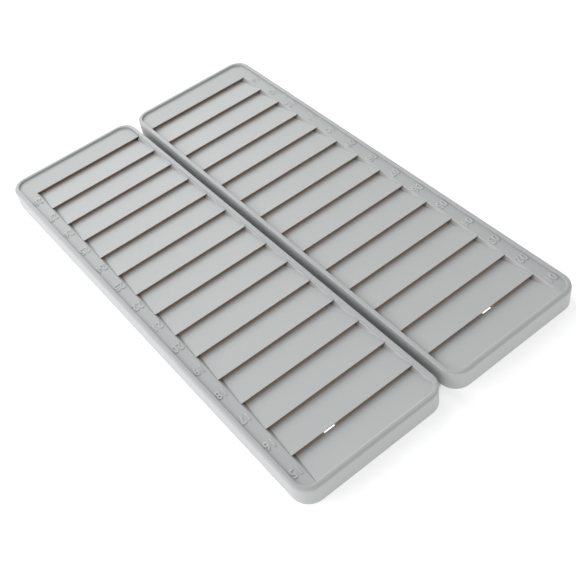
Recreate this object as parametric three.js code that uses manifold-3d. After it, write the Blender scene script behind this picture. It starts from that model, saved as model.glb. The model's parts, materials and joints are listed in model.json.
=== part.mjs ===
// Pair of wall-or-desk trays with 28 numbered, shingled slots for microscope slides.
//
// Each tray is a rounded rim frame that holds fourteen sloping slats, an L-shaped number plate
// and a recessed base plate. A slide lies on a slat with its low edge tucked under the lip of
// the slat before it. The two trays are mirror images: the number plate runs along the outer
// long side of each. They lie side by side with a narrow gap. Slots are numbered from the near
// end, 1 to 14 on the right tray and 15 to 28 on the left one.
//
// Millimetres, +Z up. X runs across the pair, Y along the trays, and the origin is at the
// centre of the footprint, on the surface that the trays stand on.

import * as THREE from 'three';
import { mergeVertices } from 'three/addons/utils/BufferGeometryUtils.js';
import Module from 'manifold-3d';

const wasm = await Module();
wasm.setup();

// ---- driving dimensions ----

const SLOTS = 14; // slots in one tray
const PITCH = 20.65; // from one slot line to the next
const POCKET = 79.1; // length of a slot at the top of its sides, for a 76 mm slide
const RIM = 3; // width of the rim along the numbered strip and at both ends
const INNER_RIM = 2.5; // width of the rim along the gap
const STRIP = 7.7; // width of the numbered strip
const GAP = 5; // between the two trays
const HEADER = 19.9; // from the far outer wall to the first slot line
const FOOTER = 22.65; // from the last slot line to the near outer wall

const HEIGHT = 13; // rim top above the table
const PLATE_TOP = 11.6; // number plate and slat lips
const SLOT_DROP = 2.5; // from a lip down to the next slat
const LIP = 0.5; // thickness of a slat's lip
const TUCK = 8; // how far a slat reaches under the slat before it
const SIDE_SLOPE = 0.95; // the pocket's sides close in by this much for each mm down
const FIT = 0.3; // assembly clearance round the inserted pieces
const SIDE_FIT = 0.4; // the same, measured along X at the sloping sides

const OUTER_RADIUS = 10.5; // outer corners, in plan
const EDGE_FILLET = 1.6; // top outer edge of the rim
const CORNER_STEPS = 10; // facets in a quarter of a corner

const SHELF_TOP = 5.8; // shelf that the slats and the number plate rest on
const SHELF_BOTTOM = 2.3; // the base plate is fitted up to here
const SHELF_SIDE = 8; // reach of the shelf from the top of the pocket's sides
const SHELF_END = 2.5; // reach of the shelf from the near wall
const BASE_BOTTOM = 0.6; // the base plate is recessed, so that only the rim touches the table
const BASE_TOP = 2;

const HOOK_WINDOW = 7.4; // width of the see-through window in the last slot
const WINDOW_START = 0.4; // the window starts this far behind the last slot line
const HOOK_HOLE = [12, 8]; // hanging hole in the base plate, X by Y
const HOLE_SHIFT = [2.5, 5]; // from the window to the centre of the hanging hole
const HOOK_OFFSET = { left: 59.2, right: 49.9 }; // window centre, from the middle of the gap
const LAST_RISE_END = 18.45; // the last slat reaches plate height this far past its slot line
const LAST_TOP = 12.6; // and runs up the near rim to here

// ---- derived places ----

const WIDTH = INNER_RIM + POCKET + STRIP + RIM;
const LENGTH = HEADER + (SLOTS - 1) * PITCH + FOOTER;
const FAR = LENGTH / 2;
const NEAR = -LENGTH / 2;
const INNER = GAP / 2;
const OUTER = INNER + WIDTH;
const POCKET_IN = INNER + INNER_RIM;
const POCKET_OUT = POCKET_IN + POCKET;
const WELL_RADIUS = OUTER_RADIUS - RIM;
const SLOPE = SLOT_DROP / PITCH;
const INSERT_BOTTOM = SHELF_TOP + FIT;

/** Y of slot line k, counted from 1 at the far end. */
const slotLine = (k) => FAR - HEADER - (k - 1) * PITCH;

// ---- materials ----

function plastic(color, roughness) {
  return new THREE.MeshStandardMaterial({ color, roughness, metalness: 0 });
}

const FRAME_GREY = 0xbfc1c0;
const SLAT_GREY = 0xc3c5c4;
const BASE_GREY = 0x8d8a86;

// ---- geometry helpers ----

/** A closed three.js geometry as a manifold solid. */
function toSolid(geometry) {
  const bare = geometry.clone();
  bare.deleteAttribute('normal');
  bare.deleteAttribute('uv');
  const merged = mergeVertices(bare, 1e-4);
  return new wasm.Manifold(new wasm.Mesh({
    numProp: 3,
    vertProperties: new Float32Array(merged.attributes.position.array),
    triVerts: new Uint32Array(merged.index.array),
  }));
}

/** A manifold solid as a three.js geometry. */
function toGeometry(solid) {
  const mesh = solid.getMesh();
  const geometry = new THREE.BufferGeometry();
  geometry.setAttribute('position', new THREE.BufferAttribute(mesh.vertProperties, 3));
  geometry.setIndex(new THREE.BufferAttribute(mesh.triVerts, 1));
  geometry.computeVertexNormals();
  return geometry;
}

/** Rounded rectangle between two opposite corners. */
function roundedRectangle(x0, x1, y0, y1, radius) {
  const [left, right] = [Math.min(x0, x1), Math.max(x0, x1)];
  const shape = new THREE.Shape();
  shape.absarc(right - radius, y1 - radius, radius, 0, Math.PI / 2, false);
  shape.absarc(left + radius, y1 - radius, radius, Math.PI / 2, Math.PI, false);
  shape.absarc(left + radius, y0 + radius, radius, Math.PI, 1.5 * Math.PI, false);
  shape.absarc(right - radius, y0 + radius, radius, 1.5 * Math.PI, 2 * Math.PI, false);
  shape.closePath();
  return shape;
}

/** Upright prism over a plan outline, from z0 to z1. */
function prism(shape, z0, z1) {
  const options = { depth: z1 - z0, bevelEnabled: false, curveSegments: CORNER_STEPS };
  return new THREE.ExtrudeGeometry(shape, options).translate(0, 0, z0);
}

/** Box between two opposite corners. */
function box(x0, x1, y0, y1, z0, z1) {
  const geometry = new THREE.BoxGeometry(Math.abs(x1 - x0), y1 - y0, z1 - z0);
  return geometry.translate((x0 + x1) / 2, (y0 + y1) / 2, (z0 + z1) / 2);
}

/** Straight bar along X whose section is a list of [y, z] points. */
function barAcross(section, x0, x1) {
  const shape = new THREE.Shape(section.map(([y, z]) => new THREE.Vector2(y, z)));
  const options = { depth: Math.abs(x1 - x0), bevelEnabled: false };
  const turn = new THREE.Matrix4().makeBasis(
    new THREE.Vector3(0, 1, 0),
    new THREE.Vector3(0, 0, 1),
    new THREE.Vector3(1, 0, 0),
  );
  const geometry = new THREE.ExtrudeGeometry(shape, options).applyMatrix4(turn);
  return geometry.translate(Math.min(x0, x1), 0, 0);
}

/** Straight bar along Y whose section is a list of [x, z] points. */
function barAlong(section, y0, y1) {
  const shape = new THREE.Shape(section.map(([x, z]) => new THREE.Vector2(x, z)));
  const options = { depth: y1 - y0, bevelEnabled: false };
  const turn = new THREE.Matrix4().makeBasis(
    new THREE.Vector3(1, 0, 0),
    new THREE.Vector3(0, 0, 1),
    new THREE.Vector3(0, -1, 0),
  );
  return new THREE.ExtrudeGeometry(shape, options).applyMatrix4(turn).translate(0, y1, 0);
}

/** Rounded block whose top outer edge is filleted: stacked outlines joined by rings. */
function filletedBlock(x0, x1, y0, y1, radius, height, fillet) {
  const steps = 5;
  const levels = [[0, 0]];
  for (let i = 0; i <= steps; i += 1) {
    const angle = (i / steps) * (Math.PI / 2);
    levels.push([fillet * (1 - Math.cos(angle)), height - fillet * (1 - Math.sin(angle))]);
  }
  const rings = levels.map(([inset, z]) => {
    const outline = roundedRectangle(
      Math.min(x0, x1) + inset,
      Math.max(x0, x1) - inset,
      y0 + inset,
      y1 - inset,
      radius - inset,
    );
    return outline.getPoints(CORNER_STEPS).slice(0, -1).map((p) => [p.x, p.y, z]);
  });
  const count = rings[0].length;
  const middle = [(x0 + x1) / 2, (y0 + y1) / 2];
  const vertices = [...rings.flat(), [...middle, 0], [...middle, height]];
  const bottomCentre = vertices.length - 2;
  const topCentre = vertices.length - 1;
  const faces = [];
  for (let i = 0; i < count; i += 1) {
    const next = (i + 1) % count;
    const topRing = (rings.length - 1) * count;
    faces.push(bottomCentre, next, i);
    faces.push(topCentre, topRing + i, topRing + next);
    for (let level = 0; level < rings.length - 1; level += 1) {
      const low = level * count;
      const high = low + count;
      faces.push(low + i, low + next, high + next);
      faces.push(low + i, high + next, high + i);
    }
  }
  const geometry = new THREE.BufferGeometry();
  geometry.setAttribute('position', new THREE.Float32BufferAttribute(vertices.flat(), 3));
  geometry.setIndex(faces);
  return geometry;
}

// ---- the pieces of one tray; side is -1 for the left tray and +1 for the right ----

/** Outline of the well inside the rim, shrunk by a clearance. */
function wellOutline(side, clearance) {
  return roundedRectangle(
    side * (POCKET_IN + clearance),
    side * (OUTER - RIM - clearance),
    NEAR + RIM + clearance,
    FAR - RIM - clearance,
    WELL_RADIUS - clearance,
  );
}

/** How far the pocket's sloping sides have closed in at height z. */
const closedIn = (z) => SIDE_SLOPE * (PLATE_TOP - z);

/** Outer walls and rim, with the pocket's sloping inner side and the shelf that carries the rest. */
function rimFrame(side) {
  const block = filletedBlock(
    side * INNER,
    side * OUTER,
    NEAR,
    FAR,
    OUTER_RADIUS,
    HEIGHT,
    EDGE_FILLET,
  );
  const well = prism(wellOutline(side, 0), SHELF_TOP, HEIGHT + 1);
  const baseRecess = prism(wellOutline(side, 0), -1, SHELF_BOTTOM);
  const middle = box(
    side * (POCKET_IN + SHELF_SIDE),
    side * (POCKET_OUT - SHELF_SIDE),
    NEAR + RIM + SHELF_END,
    slotLine(1) + TUCK,
    SHELF_BOTTOM - 1,
    SHELF_TOP + 1,
  );
  const slopingSide = barAlong(
    [
      [side * INNER, SHELF_TOP],
      [side * INNER, PLATE_TOP],
      [side * POCKET_IN, PLATE_TOP],
      [side * (POCKET_IN + closedIn(SHELF_TOP)), SHELF_TOP],
    ],
    NEAR,
    slotLine(1) - FIT,
  );
  const inWell = prism(wellOutline(side, 0), 0, HEIGHT);
  return toGeometry(
    toSolid(block)
      .subtract(toSolid(well))
      .subtract(toSolid(baseRecess))
      .subtract(toSolid(middle))
      .add(toSolid(slopingSide).intersect(toSolid(inWell))),
  );
}

/** Underside of a lip that starts at y: thin at its edge, closing over the next slat. */
function lipUnderside(y) {
  const mouth = PLATE_TOP - LIP;
  const back = PLATE_TOP - SLOT_DROP - SLOPE * TUCK + FIT;
  const fall = (mouth - back) / TUCK;
  const run = TUCK + 1;
  return [[y, mouth], [y + run, mouth - fall * run]];
}

/** Header and numbered strip in one L-shaped plate. The header's near edge is the first lip. */
function numberPlate(side) {
  const [lipEdge, lipRoot] = lipUnderside(slotLine(1));
  const header = barAcross(
    [[lipEdge[0], PLATE_TOP], lipEdge, lipRoot, [FAR, INSERT_BOTTOM], [FAR, PLATE_TOP]],
    side * POCKET_IN,
    side * OUTER,
  );
  const strip = barAlong(
    [
      [side * OUTER, INSERT_BOTTOM],
      [side * OUTER, PLATE_TOP],
      [side * POCKET_OUT, PLATE_TOP],
      [side * (POCKET_OUT - closedIn(INSERT_BOTTOM)), INSERT_BOTTOM],
    ],
    NEAR,
    FAR,
  );
  const outline = prism(wellOutline(side, FIT), 0, HEIGHT);
  return toGeometry(toSolid(header).add(toSolid(strip)).intersect(toSolid(outline)));
}

/** Section of slat k: a wedge whose thin near edge is the lip over the next slot. */
function slatSection(k) {
  const line = slotLine(k);
  const farEnd = line + TUCK;
  const farTop = PLATE_TOP - SLOT_DROP - SLOPE * TUCK;
  if (k < SLOTS) {
    const [lipEdge, lipRoot] = lipUnderside(slotLine(k + 1));
    return [[farEnd, farTop], [lipEdge[0], PLATE_TOP], lipEdge, lipRoot, [farEnd, INSERT_BOTTOM]];
  }
  const nearEnd = NEAR + RIM;
  return [
    [farEnd, farTop],
    [line, PLATE_TOP - SLOT_DROP],
    [line - LAST_RISE_END, PLATE_TOP],
    [nearEnd, LAST_TOP],
    [nearEnd, INSERT_BOTTOM],
    [farEnd, INSERT_BOTTOM],
  ];
}

/** Slat k, whose ends slope with the pocket's sides. The last slat has a rounded corner and a
 * notch that leaves the hook window open. */
function slat(side, k, hookX) {
  const bar = barAcross(slatSection(k), side * POCKET_IN, side * POCKET_OUT);
  const taper = barAlong(
    [
      [side * (POCKET_IN + SIDE_FIT), PLATE_TOP],
      [side * (POCKET_IN + SIDE_FIT), HEIGHT],
      [side * (POCKET_OUT - SIDE_FIT), HEIGHT],
      [side * (POCKET_OUT - SIDE_FIT), PLATE_TOP],
      [side * (POCKET_OUT - SIDE_FIT - closedIn(INSERT_BOTTOM)), INSERT_BOTTOM],
      [side * (POCKET_IN + SIDE_FIT + closedIn(INSERT_BOTTOM)), INSERT_BOTTOM],
    ],
    NEAR,
    FAR,
  );
  const tapered = toSolid(bar).intersect(toSolid(taper));
  if (k < SLOTS) {
    return toGeometry(tapered);
  }
  const outline = prism(wellOutline(side, FIT), 0, HEIGHT);
  const notch = box(
    hookX - HOOK_WINDOW / 2,
    hookX + HOOK_WINDOW / 2,
    slotLine(SLOTS) + WINDOW_START,
    slotLine(SLOTS) + TUCK + 1,
    0,
    HEIGHT,
  );
  return toGeometry(tapered.intersect(toSolid(outline)).subtract(toSolid(notch)));
}

/** Plate that closes the tray from below, with the hole that a wall hook goes through. */
function basePlate(side, hookX) {
  const plate = prism(wellOutline(side, FIT), BASE_BOTTOM, BASE_TOP);
  const holeX = hookX + HOLE_SHIFT[0];
  const holeY = slotLine(SLOTS) + HOLE_SHIFT[1];
  const hole = box(
    holeX - HOOK_HOLE[0] / 2,
    holeX + HOOK_HOLE[0] / 2,
    holeY - HOOK_HOLE[1] / 2,
    holeY + HOOK_HOLE[1] / 2,
    0,
    HEIGHT,
  );
  return toGeometry(toSolid(plate).subtract(toSolid(hole)));
}

// ---- assembly ----

function addPiece(parent, name, geometry, color, roughness) {
  const mesh = new THREE.Mesh(geometry, plastic(color, roughness));
  mesh.name = name;
  parent.add(mesh);
}

/** One whole tray. slotNumber gives the number of slot k, counted from the far end. */
function tray(name, side, slotNumber) {
  const group = new THREE.Group();
  const hookX = side * HOOK_OFFSET[name];
  addPiece(group, `${name}_rim_frame`, rimFrame(side), FRAME_GREY, 0.55);
  addPiece(group, `${name}_number_plate`, numberPlate(side), SLAT_GREY, 0.6);
  addPiece(group, `${name}_base_plate`, basePlate(side, hookX), BASE_GREY, 0.7);
  for (let k = 1; k <= SLOTS; k += 1) {
    const label = String(slotNumber(k)).padStart(2, '0');
    addPiece(group, `${name}_slat_${label}`, slat(side, k, hookX), SLAT_GREY, 0.6);
  }
  return group;
}

const pair = new THREE.Group();
pair.add(tray('left', -1, (k) => 2 * SLOTS + 1 - k));
pair.add(tray('right', 1, (k) => SLOTS + 1 - k));

export default pair;
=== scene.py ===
"""Looks for the pair of numbered slide trays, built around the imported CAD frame. Metres, +Z up."""

import json
import math

import bmesh
import bpy
from mathutils import Matrix, Vector


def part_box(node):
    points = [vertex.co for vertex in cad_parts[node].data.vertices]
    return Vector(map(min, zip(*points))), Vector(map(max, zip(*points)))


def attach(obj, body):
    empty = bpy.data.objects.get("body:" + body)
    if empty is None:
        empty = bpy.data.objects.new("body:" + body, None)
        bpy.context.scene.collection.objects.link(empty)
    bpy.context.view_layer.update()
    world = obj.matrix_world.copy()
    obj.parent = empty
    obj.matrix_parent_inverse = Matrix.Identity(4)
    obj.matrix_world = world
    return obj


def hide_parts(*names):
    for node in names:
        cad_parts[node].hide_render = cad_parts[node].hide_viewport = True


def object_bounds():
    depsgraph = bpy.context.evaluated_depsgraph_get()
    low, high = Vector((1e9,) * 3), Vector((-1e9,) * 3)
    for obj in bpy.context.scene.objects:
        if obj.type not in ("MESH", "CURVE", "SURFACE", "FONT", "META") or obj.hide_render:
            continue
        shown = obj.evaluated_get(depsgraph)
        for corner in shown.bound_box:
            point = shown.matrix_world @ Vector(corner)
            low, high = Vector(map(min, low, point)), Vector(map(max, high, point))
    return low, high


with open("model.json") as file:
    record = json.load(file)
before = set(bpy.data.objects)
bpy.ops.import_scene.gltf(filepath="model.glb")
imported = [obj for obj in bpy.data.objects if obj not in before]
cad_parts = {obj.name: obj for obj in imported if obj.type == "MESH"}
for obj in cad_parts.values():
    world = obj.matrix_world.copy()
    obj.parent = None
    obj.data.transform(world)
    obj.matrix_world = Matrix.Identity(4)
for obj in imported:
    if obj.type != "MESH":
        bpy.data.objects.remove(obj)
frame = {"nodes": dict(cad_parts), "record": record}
cad_low, cad_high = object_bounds()

MM = 0.001

# ---- sizes that the frame doesn't state ----

FIT = 0.3 * MM  # assembly clearance round the inserted pieces
SIDE_FIT = 0.4 * MM  # the same, measured along X at the pocket's sloping sides
SIDE_SLOPE = 0.95  # the pocket's sides close in by this much for each millimetre down
SHELF_SIDE = 8 * MM  # reach of the shelf from the top of the pocket's sides
SHELF_END = 2.5 * MM  # reach of the shelf from the near wall
SHELF_CORNER = 0.5 * MM  # corners of the opening in the shelf
LET_IN = 0.5 * MM  # how far a piece that is part of another reaches into it
WELL_NEAR_WALL = 6 * MM  # near end of the sloping side, from the tray's end: at the wall
WELL_NEAR_FOOT = 2 * MM  # and at the foot of the slope
SLOT_DROP = 2.5 * MM  # from a lip down to the next slat
SLOTS = 14  # in each tray
SIDES = {"left": -1, "right": 1}

# ---- edges ----

EDGE_FILLET = 1.8 * MM  # top outer edge of the rim
GAP_FILLET = 0.6 * MM  # the same edge along the gap
INNER_FILLET = 0.35 * MM  # top inner edge of the rim
FOOT_FILLET = 0.4 * MM  # bottom outer edge of the rim
OUTER_RADIUS = 10.5 * MM  # corners in plan
CORNER_STEPS = 16
PLATE_EDGE = 0.25 * MM  # rounding of the number plate's edges
PLATE_WIDEN = 0.25 * MM  # closes most of the gap round the number plate
SLAT_EDGE = 0.12 * MM  # rounding of a slat's edges
SLAT_WIDEN = 0.45 * MM  # closes the gaps at a slat's two ends
LAST_SLAT_WIDEN = 0.25 * MM  # closes the last slat's gap at the near rim
RIM_SHARP = 38  # edges sharper than this many degrees stay sharp
PIECE_SHARP = 45
NUMERAL_SHARP = 30

# ---- numerals ----

NUMERAL_HEIGHT = 5.6 * MM
NUMERAL_RAISE = 0.35 * MM
NUMERAL_BEVEL = 0.08 * MM
NUMERAL_PAST_LINE = 8.2 * MM  # numeral centre, from its slot line towards the near end
NUMERAL_SPACING = 1.08
NUMERAL_NARROWING = 0.8
SIZE_FOR_HEIGHT = 1.37  # font size that gives digits of height 1

# ---- colours ----

LIGHT_GREY = (0.535, 0.545, 0.54)
SHADED_GREY = (0.505, 0.515, 0.51)
# painted highlight: the numerals are a lighter grey than the strip, so their raised strokes read as
# lit
NUMERAL_HIGHLIGHT_GREY = (0.66, 0.67, 0.665)
# painted shade: the warm tone of the slots' mouths, painted on the part of each slat under the lip
# above it
SLOT_SHADE_BROWN = (0.65, 0.51, 0.425)
# painted shade: dark on the pocket's sides in and in front of each slot's mouth
SLOT_END_SHADE = (0.25, 0.215, 0.19)
BASE_LIGHT = (0.29, 0.27, 0.26)
BASE_DARK = (0.25, 0.23, 0.22)
FLOOR_WHITE = (0.93, 0.93, 0.93)

# ---- the plastic's surface: noise scales are per metre ----

CLOUD_SCALE = 28.0
SPECKLE_SCALE = 2600.0
SPECKLE_SHARE = 0.3  # of the tone between light and dark. The cloud has the rest
GRAIN_SCALE = 1900.0
GRAIN_ROUGHNESS = 0.6
GRAIN_STRENGTH = 0.35
GRAIN_DEPTH = 0.04 * MM
SPECULAR = 0.4
CLOUD_GLOSS = (-0.04, 0.05)  # what the cloud adds to the roughness
FRAME_ROUGHNESS = 0.48
INSERT_ROUGHNESS = 0.5
BASE_ROUGHNESS = 0.6
FLOOR_ROUGHNESS = 0.8
FLOOR_SPECULAR = 0.1

# ---- painted shade of the slots on the plastic ----

DUSK_FADE = (-0.05 * MM, 0.15 * MM)  # painted slot shade: a slat turns brown between these heights over a slot's floor
SLOT_MOUTH = 0.55 * MM  # the painted shade of a slot starts this far below its lip
MOUTH_DEPTH = 2.0 * MM  # and reaches this far back along the pocket's sides
DUSK_REACH = 11 * MM  # in front of a slot the painted shade on the sides reaches this far
DUSK_SHARE = 0.75  # and is this strong at the slot
SIDE_MARGIN = 0.1 * MM  # the painted shade of the sides reaches this far past the pocket along X

# ---- stage ----

FLOOR_SIZE = 6.0
FLOOR_Z = -0.02 * MM  # just clear of the feet
FLOOR_GLOW = 0.45
GAP_GLOW_EDGE = (2 * MM, 4 * MM)  # the glow starts and is full this far from the gap's core
HOLE_GLOW = 1.3
HOLE_MARGIN = 2 * MM  # the bright patches reach this far past the hanging holes
HOLE_GLOW_EDGE = (0.5 * MM, 1 * MM)
HORIZON_LIGHT = 1.22
ZENITH_LIGHT = 0.24
NEAR_LIGHT = 0.7  # share of that light left in the direction of the near end
KEY_LIGHT = {
    "location": (-0.75, 0.3, 0.6), "size": 0.7, "power": 3.9, "colour": (0.97, 0.98, 1.05),
}
FAR_LIGHT = {
    "location": (0.2, 0.8, 0.45), "size": 0.5, "power": 3.1, "colour": (1.0, 1.0, 0.99),
}
CAMERA_TURN = (30.03, 47.19, -10.92)  # azimuth, elevation and roll in degrees
CAMERA_TARGET = (-0.0158, -0.0421, 0.0065)
CAMERA_DISTANCE = 0.5248
CAMERA_LENS = 57.99  # for a sensor 36 mm wide


def slat_name(side, k):
    """Node and number of slat k, counted from the far end. Numbers go up from the near end."""
    number = SLOTS + 1 - k + (SLOTS if side == "left" else 0)
    return f"{side}_slat_{number:02d}", number


def first_line(side):
    """Y of slot line 1, under the header's lip: one pitch beyond line 2."""
    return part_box(slat_name(side, 1)[0])[0].y + pitch(side)


def pitch(side):
    """From one slot line to the next."""
    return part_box(slat_name(side, 1)[0])[0].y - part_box(slat_name(side, 2)[0])[0].y


# ---- materials ----

def node_material(name):
    material = bpy.data.materials.new(name)
    material.use_nodes = True
    tree = material.node_tree
    tree.nodes.clear()
    output = tree.nodes.new("ShaderNodeOutputMaterial")
    shader = tree.nodes.new("ShaderNodeBsdfPrincipled")
    tree.links.new(shader.outputs["BSDF"], output.inputs["Surface"])
    return material, tree, shader


def noise(tree, coordinates, scale, detail=3.0, roughness=0.5):
    texture = tree.nodes.new("ShaderNodeTexNoise")
    texture.inputs["Scale"].default_value = scale
    texture.inputs["Detail"].default_value = detail
    texture.inputs["Roughness"].default_value = roughness
    tree.links.new(coordinates, texture.inputs["Vector"])
    return texture.outputs["Fac"]


def map_range(tree, value, low, high, to_low, to_high, smooth=False):
    remap = tree.nodes.new("ShaderNodeMapRange")
    remap.interpolation_type = "SMOOTHSTEP" if smooth else "LINEAR"
    for socket, number in (
        ("From Min", low), ("From Max", high), ("To Min", to_low), ("To Max", to_high),
    ):
        remap.inputs[socket].default_value = number
    tree.links.new(value, remap.inputs["Value"])
    return remap.outputs["Result"]


def maths(tree, operation, first, second=None):
    """One Math node. Each input is a socket or a number."""
    node = tree.nodes.new("ShaderNodeMath")
    node.operation = operation
    for socket, value in zip(node.inputs, (first, second)):
        if isinstance(value, (int, float)):
            socket.default_value = value
        elif value is not None:
            tree.links.new(value, socket)
    return node.outputs[0]


def between(tree, value, low, high):
    """1 where the value lies between low and high, 0 elsewhere."""
    above = maths(tree, "GREATER_THAN", value, low)
    return maths(tree, "MULTIPLY", above, maths(tree, "LESS_THAN", value, high))


def plan_distance(tree, place, centre, half, radius):
    """Distance in plan from a rounded rectangle, plus its corner radius."""
    core = Vector((half[0] - radius, half[1] - radius, 1.0))
    value = place
    for operation, operand in (
        ("SUBTRACT", Vector((*centre, 0))), ("ABSOLUTE", None), ("SUBTRACT", core),
        ("MAXIMUM", Vector()), ("LENGTH", None),
    ):
        node = tree.nodes.new("ShaderNodeVectorMath")
        node.operation = operation
        tree.links.new(value, node.inputs[0])
        if operand is not None:
            node.inputs[1].default_value = operand
        value = node.outputs["Value" if operation == "LENGTH" else "Vector"]
    return value


def mix_colour(tree, factor, first, second):
    mix = tree.nodes.new("ShaderNodeMix")
    mix.data_type = "RGBA"
    for socket, value in ((6, first), (7, second)):
        if isinstance(value, tuple):
            mix.inputs[socket].default_value = (*value, 1)
        else:
            tree.links.new(value, mix.inputs[socket])
    tree.links.new(factor, mix.inputs[0])
    return mix.outputs[2]


def slot_shade_mask(tree, place):
    """Mask of the painted slot shade on a slat: 1 behind the mouth, fading out in front of it."""
    height = tree.nodes.new("ShaderNodeSeparateXYZ")
    tree.links.new(place, height.inputs[0])
    floor_z = SLAT_TOP - SLOT_DROP
    return map_range(
        tree, height.outputs["Z"], floor_z + DUSK_FADE[0], floor_z + DUSK_FADE[1], 1.0, 0.0,
        smooth=True)


def slot_end_shade_mask(tree, place):
    """Mask of the painted shade on the pocket's sides: full in the mouth of a slot, fading out in
    front of it.
    """
    parts = tree.nodes.new("ShaderNodeSeparateXYZ")
    tree.links.new(place, parts.inputs[0])
    past_line = maths(tree, "SUBTRACT", parts.outputs["Y"], FIRST_LINE)
    turns = maths(tree, "FRACT", maths(tree, "DIVIDE", past_line, PITCH))
    in_mouth = maths(tree, "LESS_THAN", turns, MOUTH_DEPTH / PITCH)
    in_front = map_range(
        tree, turns, 1 - DUSK_REACH / PITCH, 1.0, 0.0, DUSK_SHARE, smooth=True)
    pocket_y = (FIRST_LINE - (SLOTS - 0.5) * PITCH, FIRST_LINE + MOUTH_DEPTH)
    along = between(tree, parts.outputs["Y"], *pocket_y)
    across = between(tree, maths(tree, "ABSOLUTE", parts.outputs["X"]), *POCKET_X)
    under_lip = maths(tree, "LESS_THAN", parts.outputs["Z"], SLAT_TOP - SLOT_MOUTH)
    inside = maths(tree, "MULTIPLY", under_lip, maths(tree, "MULTIPLY", along, across))
    return maths(tree, "MULTIPLY", inside, maths(tree, "MAXIMUM", in_mouth, in_front))


def moulded_plastic(name, light, dark, roughness, shade=None, shade_colour=None):
    """Satin moulded plastic: faint cloudy tone, fine speckle and a fine spark-eroded grain.

    shade builds the mask of where the plastic takes shade_colour, the painted shade of the slots."""
    material, tree, shader = node_material(name)
    place = tree.nodes.new("ShaderNodeTexCoord").outputs["Object"]
    cloud = map_range(tree, noise(tree, place, CLOUD_SCALE, 4.0), 0.3, 0.7, 0.0, 1.0)
    speckle = map_range(tree, noise(tree, place, SPECKLE_SCALE, 2.0), 0.35, 0.65, 0.0, 1.0)
    speckle_part = maths(tree, "MULTIPLY", speckle, SPECKLE_SHARE)
    cloud_part = maths(tree, "MULTIPLY", cloud, 1 - SPECKLE_SHARE)
    tone = maths(tree, "ADD", speckle_part, cloud_part)
    colour = mix_colour(tree, tone, dark, light)
    if shade:
        colour = mix_colour(tree, shade(tree, place), colour, shade_colour)
    tree.links.new(colour, shader.inputs["Base Color"])
    rough = map_range(
        tree, cloud, 0.0, 1.0, roughness + CLOUD_GLOSS[0], roughness + CLOUD_GLOSS[1])
    tree.links.new(rough, shader.inputs["Roughness"])
    shader.inputs["Specular IOR Level"].default_value = SPECULAR
    bump = tree.nodes.new("ShaderNodeBump")
    bump.inputs["Strength"].default_value = GRAIN_STRENGTH
    bump.inputs["Distance"].default_value = GRAIN_DEPTH
    grain = noise(tree, place, GRAIN_SCALE, 3.0, GRAIN_ROUGHNESS)
    tree.links.new(grain, bump.inputs["Height"])
    tree.links.new(bump.outputs["Normal"], shader.inputs["Normal"])
    return material


# ---- mesh helpers ----

def mesh_object(name, vertices, faces, material):
    mesh = bpy.data.meshes.new(name)
    mesh.from_pydata(vertices, [], faces)
    finish_mesh(mesh, RIM_SHARP)
    return place_object(name, mesh, material)


def place_object(name, mesh, material):
    piece = bpy.data.objects.new(name, mesh)
    bpy.context.scene.collection.objects.link(piece)
    mesh.materials.clear()
    mesh.materials.append(material)
    return piece


def finish_mesh(mesh, smooth_angle):
    """Faces out, smooth shading, and edges sharper than the angle kept sharp."""
    bm = bmesh.new()
    bm.from_mesh(mesh)
    bmesh.ops.recalc_face_normals(bm, faces=bm.faces)
    bm.to_mesh(mesh)
    bm.free()
    mesh.shade_smooth()
    mesh.set_sharp_from_angle(angle=math.radians(smooth_angle))


def apply_modifiers(piece):
    """Leaves the evaluated mesh on the piece, with no modifiers."""
    evaluated = piece.evaluated_get(bpy.context.evaluated_depsgraph_get())
    mesh = bpy.data.meshes.new_from_object(evaluated)
    old = piece.data
    piece.modifiers.clear()
    piece.data = mesh
    bpy.data.meshes.remove(old)


def weight_normals(piece):
    modifier = piece.modifiers.new("weights", "WEIGHTED_NORMAL")
    modifier.keep_sharp = True
    apply_modifiers(piece)


def rounded_outline(low, high, radius):
    """Points of a rounded rectangle with the angle each faces, anticlockwise from far right."""
    points = []
    corners = (
        (high.x - radius, high.y - radius, 0),
        (low.x + radius, high.y - radius, 1),
        (low.x + radius, low.y + radius, 2),
        (high.x - radius, low.y + radius, 3),
    )
    for x, y, quarter in corners:
        for step in range(CORNER_STEPS + 1):
            angle = (quarter + step / CORNER_STEPS) * math.pi / 2
            points.append((x + radius * math.cos(angle), y + radius * math.sin(angle), angle))
    return points


def arc(centre, radius, start, end, steps):
    """Points of an arc in the (inset, z) plane. Angles in degrees, 0 along +inset, 90 along +z."""
    points = []
    for step in range(steps + 1):
        angle = math.radians(start + (end - start) * step / steps)
        points.append((centre[0] + radius * math.cos(angle), centre[1] + radius * math.sin(angle)))
    return points


# ---- pieces ----

def rim_profile(rim, top, fillet):
    """Section of the wall as (inset, z), from the foot over the rim to its inner edge."""
    profile = arc((FOOT_FILLET, FOOT_FILLET), FOOT_FILLET, 270, 180, 4)
    profile += arc((fillet, top - fillet), fillet, 180, 90, 10)
    profile += arc((rim - INNER_FILLET, top - INNER_FILLET), INNER_FILLET, 90, 0, 4)
    return profile


def rim_level(outline, gap_angle, wide, narrow):
    """One level of the ring: wide is (inset, z) round the tray, narrow is that along the gap."""
    level = []
    for x, y, angle in outline:
        share = max(0.0, math.cos(angle - gap_angle))
        inset = wide[0] + (narrow[0] - wide[0]) * share
        z = wide[1] + (narrow[1] - wide[1]) * share
        level.append((x - inset * math.cos(angle), y - inset * math.sin(angle), z))
    return level


def ring_faces(level_count, point_count):
    """Quads between successive levels, and from the last level back to the first."""
    faces = []
    for level in range(level_count):
        upper = (level + 1) % level_count
        for i in range(point_count):
            following = (i + 1) % point_count
            faces.append((
                level * point_count + i, level * point_count + following,
                upper * point_count + following, upper * point_count + i,
            ))
    return faces


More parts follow.
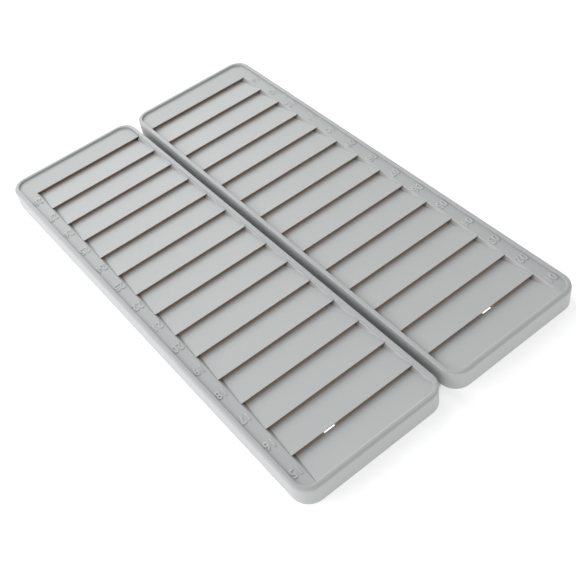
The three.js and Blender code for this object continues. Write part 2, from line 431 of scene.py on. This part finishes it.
def well_side(side, low, pocket_in, plate_top, shelf_top):
    """Closed prism of the pocket's sloping side along the gap, let into the wall and the shelf.

    Its near end slants in plan, to stay inside the rounded corner of the rim."""
    inward = SIDES[side]
    foot_x = pocket_in + inward * SIDE_SLOPE * (plate_top - shelf_top)
    wall_x = pocket_in - inward * LET_IN
    section = (
        (wall_x, shelf_top - LET_IN),
        (wall_x, plate_top),
        (pocket_in, plate_top),
        (foot_x, shelf_top),
        (foot_x, shelf_top - LET_IN),
    )
    near_slope = (WELL_NEAR_FOOT - WELL_NEAR_WALL) / abs(foot_x - wall_x)
    vertices = [
        (x, low.y + WELL_NEAR_WALL + near_slope * abs(x - wall_x), z) for x, z in section]
    vertices += [(x, first_line(side) - FIT, z) for x, z in section]
    count = len(section)
    faces = [tuple(range(count)), tuple(range(2 * count - 1, count - 1, -1))]
    for i in range(count):
        following = (i + 1) % count
        faces.append((i, count + i, count + following, following))
    return vertices, faces


def rim_frame(side, material):
    """Rim, walls and shelf as one closed ring, narrower and sharper along the gap."""
    node = f"{side}_rim_frame"
    low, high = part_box(node)
    plate_low, plate_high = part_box(f"{side}_number_plate")
    base_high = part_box(f"{side}_base_plate")[1]
    first_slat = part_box(slat_name(side, 1)[0])
    rim = high.y - plate_high.y - FIT
    if side == "left":
        pocket_in = plate_high.x + FIT
        pocket_out = first_slat[0].x - SIDE_FIT
        inner_rim = high.x - pocket_in
        gap_angle = 0.0
    else:
        pocket_in = plate_low.x - FIT
        pocket_out = first_slat[1].x + SIDE_FIT
        inner_rim = pocket_in - low.x
        gap_angle = math.pi
    shelf_top = plate_low.z - FIT
    shelf_bottom = base_high.z + FIT
    outline = rounded_outline(low, high, OUTER_RADIUS)
    levels = [
        rim_level(outline, gap_angle, wide, narrow)
        for wide, narrow in zip(
            rim_profile(rim, high.z, EDGE_FILLET), rim_profile(inner_rim, high.z, GAP_FILLET))
    ]
    window_x = sorted((pocket_in + SIDES[side] * SHELF_SIDE, pocket_out - SIDES[side] * SHELF_SIDE))
    window = rounded_outline(
        Vector((window_x[0], low.y + rim + SHELF_END, 0)),
        Vector((window_x[1], first_slat[1].y, 0)),
        SHELF_CORNER,
    )
    levels.append(rim_level(outline, gap_angle, (rim, shelf_top), (inner_rim, shelf_top)))
    levels.append([(x, y, shelf_top) for x, y, _ in window])
    levels.append([(x, y, shelf_bottom) for x, y, _ in window])
    levels.append(rim_level(outline, gap_angle, (rim, shelf_bottom), (inner_rim, shelf_bottom)))
    levels.append(rim_level(outline, gap_angle, (rim, 0.0), (inner_rim, 0.0)))
    vertices = [point for level in levels for point in level]
    faces = ring_faces(len(levels), len(outline))
    more_vertices, more_faces = well_side(side, low, pocket_in, plate_high.z, shelf_top)
    start = len(vertices)
    vertices += more_vertices
    faces += [tuple(start + i for i in face) for face in more_faces]
    piece = mesh_object(f"{side}_rim", vertices, faces, material)
    weight_normals(piece)
    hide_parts(node)
    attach(piece, f"{side}_tray")


def softened_copy(node, name, material, body, radius, widen):
    """A copy of a CAD node with its sharp edges rounded, widened to close its fitting gaps.

    widen is how far each side moves out, along X and along Y."""
    source = frame["nodes"][node].data
    bm = bmesh.new()
    bm.from_mesh(source)
    bmesh.ops.remove_doubles(bm, verts=bm.verts, dist=1e-6)
    bmesh.ops.dissolve_limit(
        bm, angle_limit=math.radians(1), verts=bm.verts, edges=bm.edges,
    )
    low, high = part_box(node)
    middle = (low + high) / 2
    for vertex in bm.verts:
        for axis, extra in enumerate(widen):
            stretch = 1 + 2 * extra / (high[axis] - low[axis])
            vertex.co[axis] = middle[axis] + (vertex.co[axis] - middle[axis]) * stretch
    mesh = bpy.data.meshes.new(name)
    bm.to_mesh(mesh)
    bm.free()
    piece = place_object(name, mesh, material)
    bevel = piece.modifiers.new("soft edges", "BEVEL")
    bevel.width = radius
    bevel.segments = 3
    bevel.limit_method = "ANGLE"
    bevel.angle_limit = math.radians(40)
    bevel.miter_outer = "MITER_ARC"
    apply_modifiers(piece)
    finish_mesh(piece.data, PIECE_SHARP)
    weight_normals(piece)
    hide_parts(node)
    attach(piece, body)
    return piece


def numerals(side, material):
    """Raised slot numbers on the strip, upright for someone at the header end."""
    plate_low, plate_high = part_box(f"{side}_number_plate")
    slat_low, slat_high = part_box(slat_name(side, 1)[0])
    if side == "left":
        centre_x = (plate_low.x - FIT + slat_low.x - SIDE_FIT) / 2
    else:
        centre_x = (plate_high.x + FIT + slat_high.x + SIDE_FIT) / 2
    narrow = Matrix.Scale(NUMERAL_NARROWING, 4, Vector((1, 0, 0)))
    turn = Matrix.Rotation(math.pi, 4, "Z") @ narrow
    meshes = []
    for k in range(1, SLOTS + 1):
        number = slat_name(side, k)[1]
        line_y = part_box(slat_name(side, k - 1)[0])[0].y if k > 1 else first_line(side)
        curve = bpy.data.curves.new("numeral", "FONT")
        curve.body = f"{number:02d}"
        curve.align_x = "CENTER"
        curve.align_y = "CENTER"
        curve.size = NUMERAL_HEIGHT * SIZE_FOR_HEIGHT
        curve.space_character = NUMERAL_SPACING
        curve.extrude = NUMERAL_RAISE
        curve.bevel_depth = NUMERAL_BEVEL
        curve.bevel_resolution = 1
        curve.resolution_u = 5
        text = bpy.data.objects.new("numeral", curve)
        bpy.context.scene.collection.objects.link(text)
        mesh = bpy.data.meshes.new_from_object(
            text.evaluated_get(bpy.context.evaluated_depsgraph_get())
        )
        place = Matrix.Translation((centre_x, line_y - NUMERAL_PAST_LINE, plate_high.z))
        mesh.transform(place @ turn)
        meshes.append(mesh)
        bpy.data.objects.remove(text)
    joined = bmesh.new()
    for mesh in meshes:
        joined.from_mesh(mesh)
        bpy.data.meshes.remove(mesh)
    bmesh.ops.remove_doubles(joined, verts=joined.verts, dist=1e-6)
    merged = bpy.data.meshes.new(f"{side}_numerals")
    joined.to_mesh(merged)
    joined.free()
    finish_mesh(merged, NUMERAL_SHARP)
    piece = place_object(f"{side}_numerals", merged, material)
    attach(piece, f"{side}_tray")


# ---- stage ----

def floor():
    """White sheet that glows faintly, more under the hanging holes, not in the gap."""
    material, tree, shader = node_material("floor_white")
    place = tree.nodes.new("ShaderNodeTexCoord").outputs["Object"]
    shader.inputs["Base Color"].default_value = (*FLOOR_WHITE, 1)
    shader.inputs["Roughness"].default_value = FLOOR_ROUGHNESS
    shader.inputs["Specular IOR Level"].default_value = FLOOR_SPECULAR
    shader.inputs["Emission Color"].default_value = (1, 1, 1, 1)
    gap_half = (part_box("right_rim_frame")[0].x, cad_high.y - OUTER_RADIUS)
    outside = plan_distance(tree, place, (0, 0), gap_half, GAP_GLOW_EDGE[0])
    glow = map_range(tree, outside, *GAP_GLOW_EDGE, 0.0, FLOOR_GLOW)
    for opening in frame["record"]["physics"]["openings"]:
        hole_low, hole_high = (Vector(corner) for corner in opening["box_m"])
        middle = (hole_low + hole_high) / 2
        half = (hole_high - hole_low) / 2 + Vector((HOLE_MARGIN, HOLE_MARGIN, 0))
        inside = plan_distance(tree, place, middle.xy, half, HOLE_GLOW_EDGE[1])
        patch = map_range(tree, inside, *HOLE_GLOW_EDGE, HOLE_GLOW, 0.0)
        glow = maths(tree, "MAXIMUM", glow, patch)
    tree.links.new(glow, shader.inputs["Emission Strength"])
    corners = [
        (x * FLOOR_SIZE, y * FLOOR_SIZE, FLOOR_Z) for x, y in ((-1, -1), (1, -1), (1, 1), (-1, 1))]
    sheet = mesh_object("floor", corners, [(0, 1, 2, 3)], material)


def area_light(name, location, size, power, colour):
    """A square light that faces the origin."""
    data = bpy.data.lights.new(name, "AREA")
    data.shape = "SQUARE"
    data.size = size
    data.energy = power
    data.color = colour
    light = bpy.data.objects.new(name, data)
    bpy.context.scene.collection.objects.link(light)
    light.location = location
    light.rotation_mode = "QUATERNION"
    light.rotation_quaternion = (-Vector(location)).to_track_quat("-Z", "Y")


def lighting():
    """A surround brighter at the horizon, a key light from the left and one from the far end."""
    world = bpy.data.worlds.new("studio")
    bpy.context.scene.world = world
    world.use_nodes = True
    background = world.node_tree.nodes["Background"]
    background.inputs["Color"].default_value = (1, 1, 1, 1)
    tree = world.node_tree
    direction = tree.nodes.new("ShaderNodeSeparateXYZ")
    tree.links.new(
        tree.nodes.new("ShaderNodeTexCoord").outputs["Generated"], direction.inputs[0])
    level = map_range(tree, direction.outputs["Z"], 0.0, 1.0, HORIZON_LIGHT, ZENITH_LIGHT)
    near_share = map_range(tree, direction.outputs["Y"], -1.0, 0.0, NEAR_LIGHT, 1.0)
    tree.links.new(maths(tree, "MULTIPLY", level, near_share), background.inputs["Strength"])
    area_light("key", **KEY_LIGHT)
    area_light("far", **FAR_LIGHT)


def camera():
    """The view from the near left, steeply down, with the frame turned a little."""
    azimuth, elevation, roll = (math.radians(angle) for angle in CAMERA_TURN)
    ahead = Vector((
        math.sin(azimuth) * math.cos(elevation),
        math.cos(azimuth) * math.cos(elevation),
        -math.sin(elevation),
    ))
    level_right = Vector((math.cos(azimuth), -math.sin(azimuth), 0))
    level_up = level_right.cross(ahead)
    right = level_right * math.cos(roll) + level_up * math.sin(roll)
    up = right.cross(ahead)
    data = bpy.data.cameras.new("camera")
    data.lens = CAMERA_LENS
    data.sensor_width = 36
    eye = bpy.data.objects.new("camera", data)
    bpy.context.scene.collection.objects.link(eye)
    axes = Matrix((right, up, -ahead)).transposed().to_4x4()
    place = Vector(CAMERA_TARGET) - ahead * CAMERA_DISTANCE
    eye.matrix_world = Matrix.Translation(place) @ axes
    bpy.context.scene.camera = eye


# ---- the scene ----

bpy.context.scene.view_settings.view_transform = "Standard"
camera()
lighting()
floor()

SLAT_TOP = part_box("right_number_plate")[1].z
FIRST_LINE = first_line("right")
PITCH = pitch("right")
POCKET_X = (
    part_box("right_number_plate")[0].x - FIT - SIDE_MARGIN,
    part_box(slat_name("right", 1)[0])[1].x + SIDE_FIT + SIDE_MARGIN,
)
# painted shade: the frame and number plate darken on the pocket's sides at the slots' ends
FRAME_PLASTIC = moulded_plastic(
    "frame_plastic", LIGHT_GREY, SHADED_GREY, FRAME_ROUGHNESS, slot_end_shade_mask, SLOT_END_SHADE)
INSERT_PLASTIC = moulded_plastic(
    "insert_plastic", LIGHT_GREY, SHADED_GREY, INSERT_ROUGHNESS, slot_end_shade_mask, SLOT_END_SHADE)
# painted highlight: the numerals take a lighter grey than the strip
NUMERAL_PLASTIC = moulded_plastic("numeral_plastic", NUMERAL_HIGHLIGHT_GREY, LIGHT_GREY, INSERT_ROUGHNESS)
# painted shade: the slats turn warm brown where they run under the lip above
SLAT_PLASTIC = moulded_plastic(
    "slat_plastic", LIGHT_GREY, SHADED_GREY, INSERT_ROUGHNESS, slot_shade_mask, SLOT_SHADE_BROWN)
BASE_PLASTIC = moulded_plastic("base_plastic", BASE_LIGHT, BASE_DARK, BASE_ROUGHNESS)

for tray_side in SIDES:
    tray_body = f"{tray_side}_tray"
    rim_frame(tray_side, FRAME_PLASTIC)
    softened_copy(
        f"{tray_side}_number_plate", f"{tray_side}_plate", INSERT_PLASTIC, tray_body,
        PLATE_EDGE, (PLATE_WIDEN, PLATE_WIDEN),
    )
    for slot_index in range(1, SLOTS + 1):
        slat_node, slat_number = slat_name(tray_side, slot_index)
        widen_y = LAST_SLAT_WIDEN if slot_index == SLOTS else 0.0
        softened_copy(
            slat_node, f"{tray_side}_slat_piece_{slat_number:02d}", SLAT_PLASTIC, tray_body,
            SLAT_EDGE, (SLAT_WIDEN, widen_y),
        )
    numerals(tray_side, NUMERAL_PLASTIC)
    base_plate = frame["nodes"][f"{tray_side}_base_plate"]
    base_plate.data.materials.clear()
    base_plate.data.materials.append(BASE_PLASTIC)
